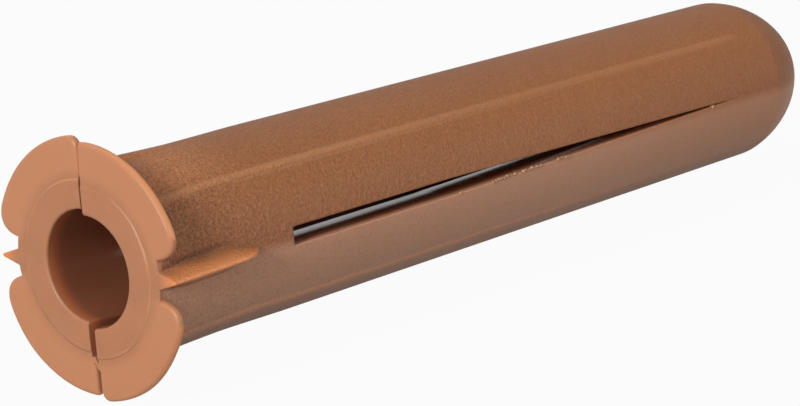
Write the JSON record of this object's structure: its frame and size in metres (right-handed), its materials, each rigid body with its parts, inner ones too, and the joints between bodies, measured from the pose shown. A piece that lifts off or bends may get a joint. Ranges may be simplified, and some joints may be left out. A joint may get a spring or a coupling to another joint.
{
  "type": "wall plug",
  "caption": "Tapered plastic wall plug with a split, lobed flange, two short fins, side slots and thin ribs, that expands in a drilled hole when a screw is driven in.",
  "frame": {"origin": "centre of the bore on the front face of the mouth", "axes": "+X along the plug towards its closed nose, +/-Y through the two fins and slots, +/-Z through the two splits of the mouth"},
  "size_m": [0.0383, 0.0086, 0.0091],
  "materials": {
    "wall_plug": "matte brown plastic with a fine spark-eroded grain, smoother at the mouth"
  },
  "bodies": {
    "root": {"wall_plug": "wall_plug"}
  },
  "joints": []
}
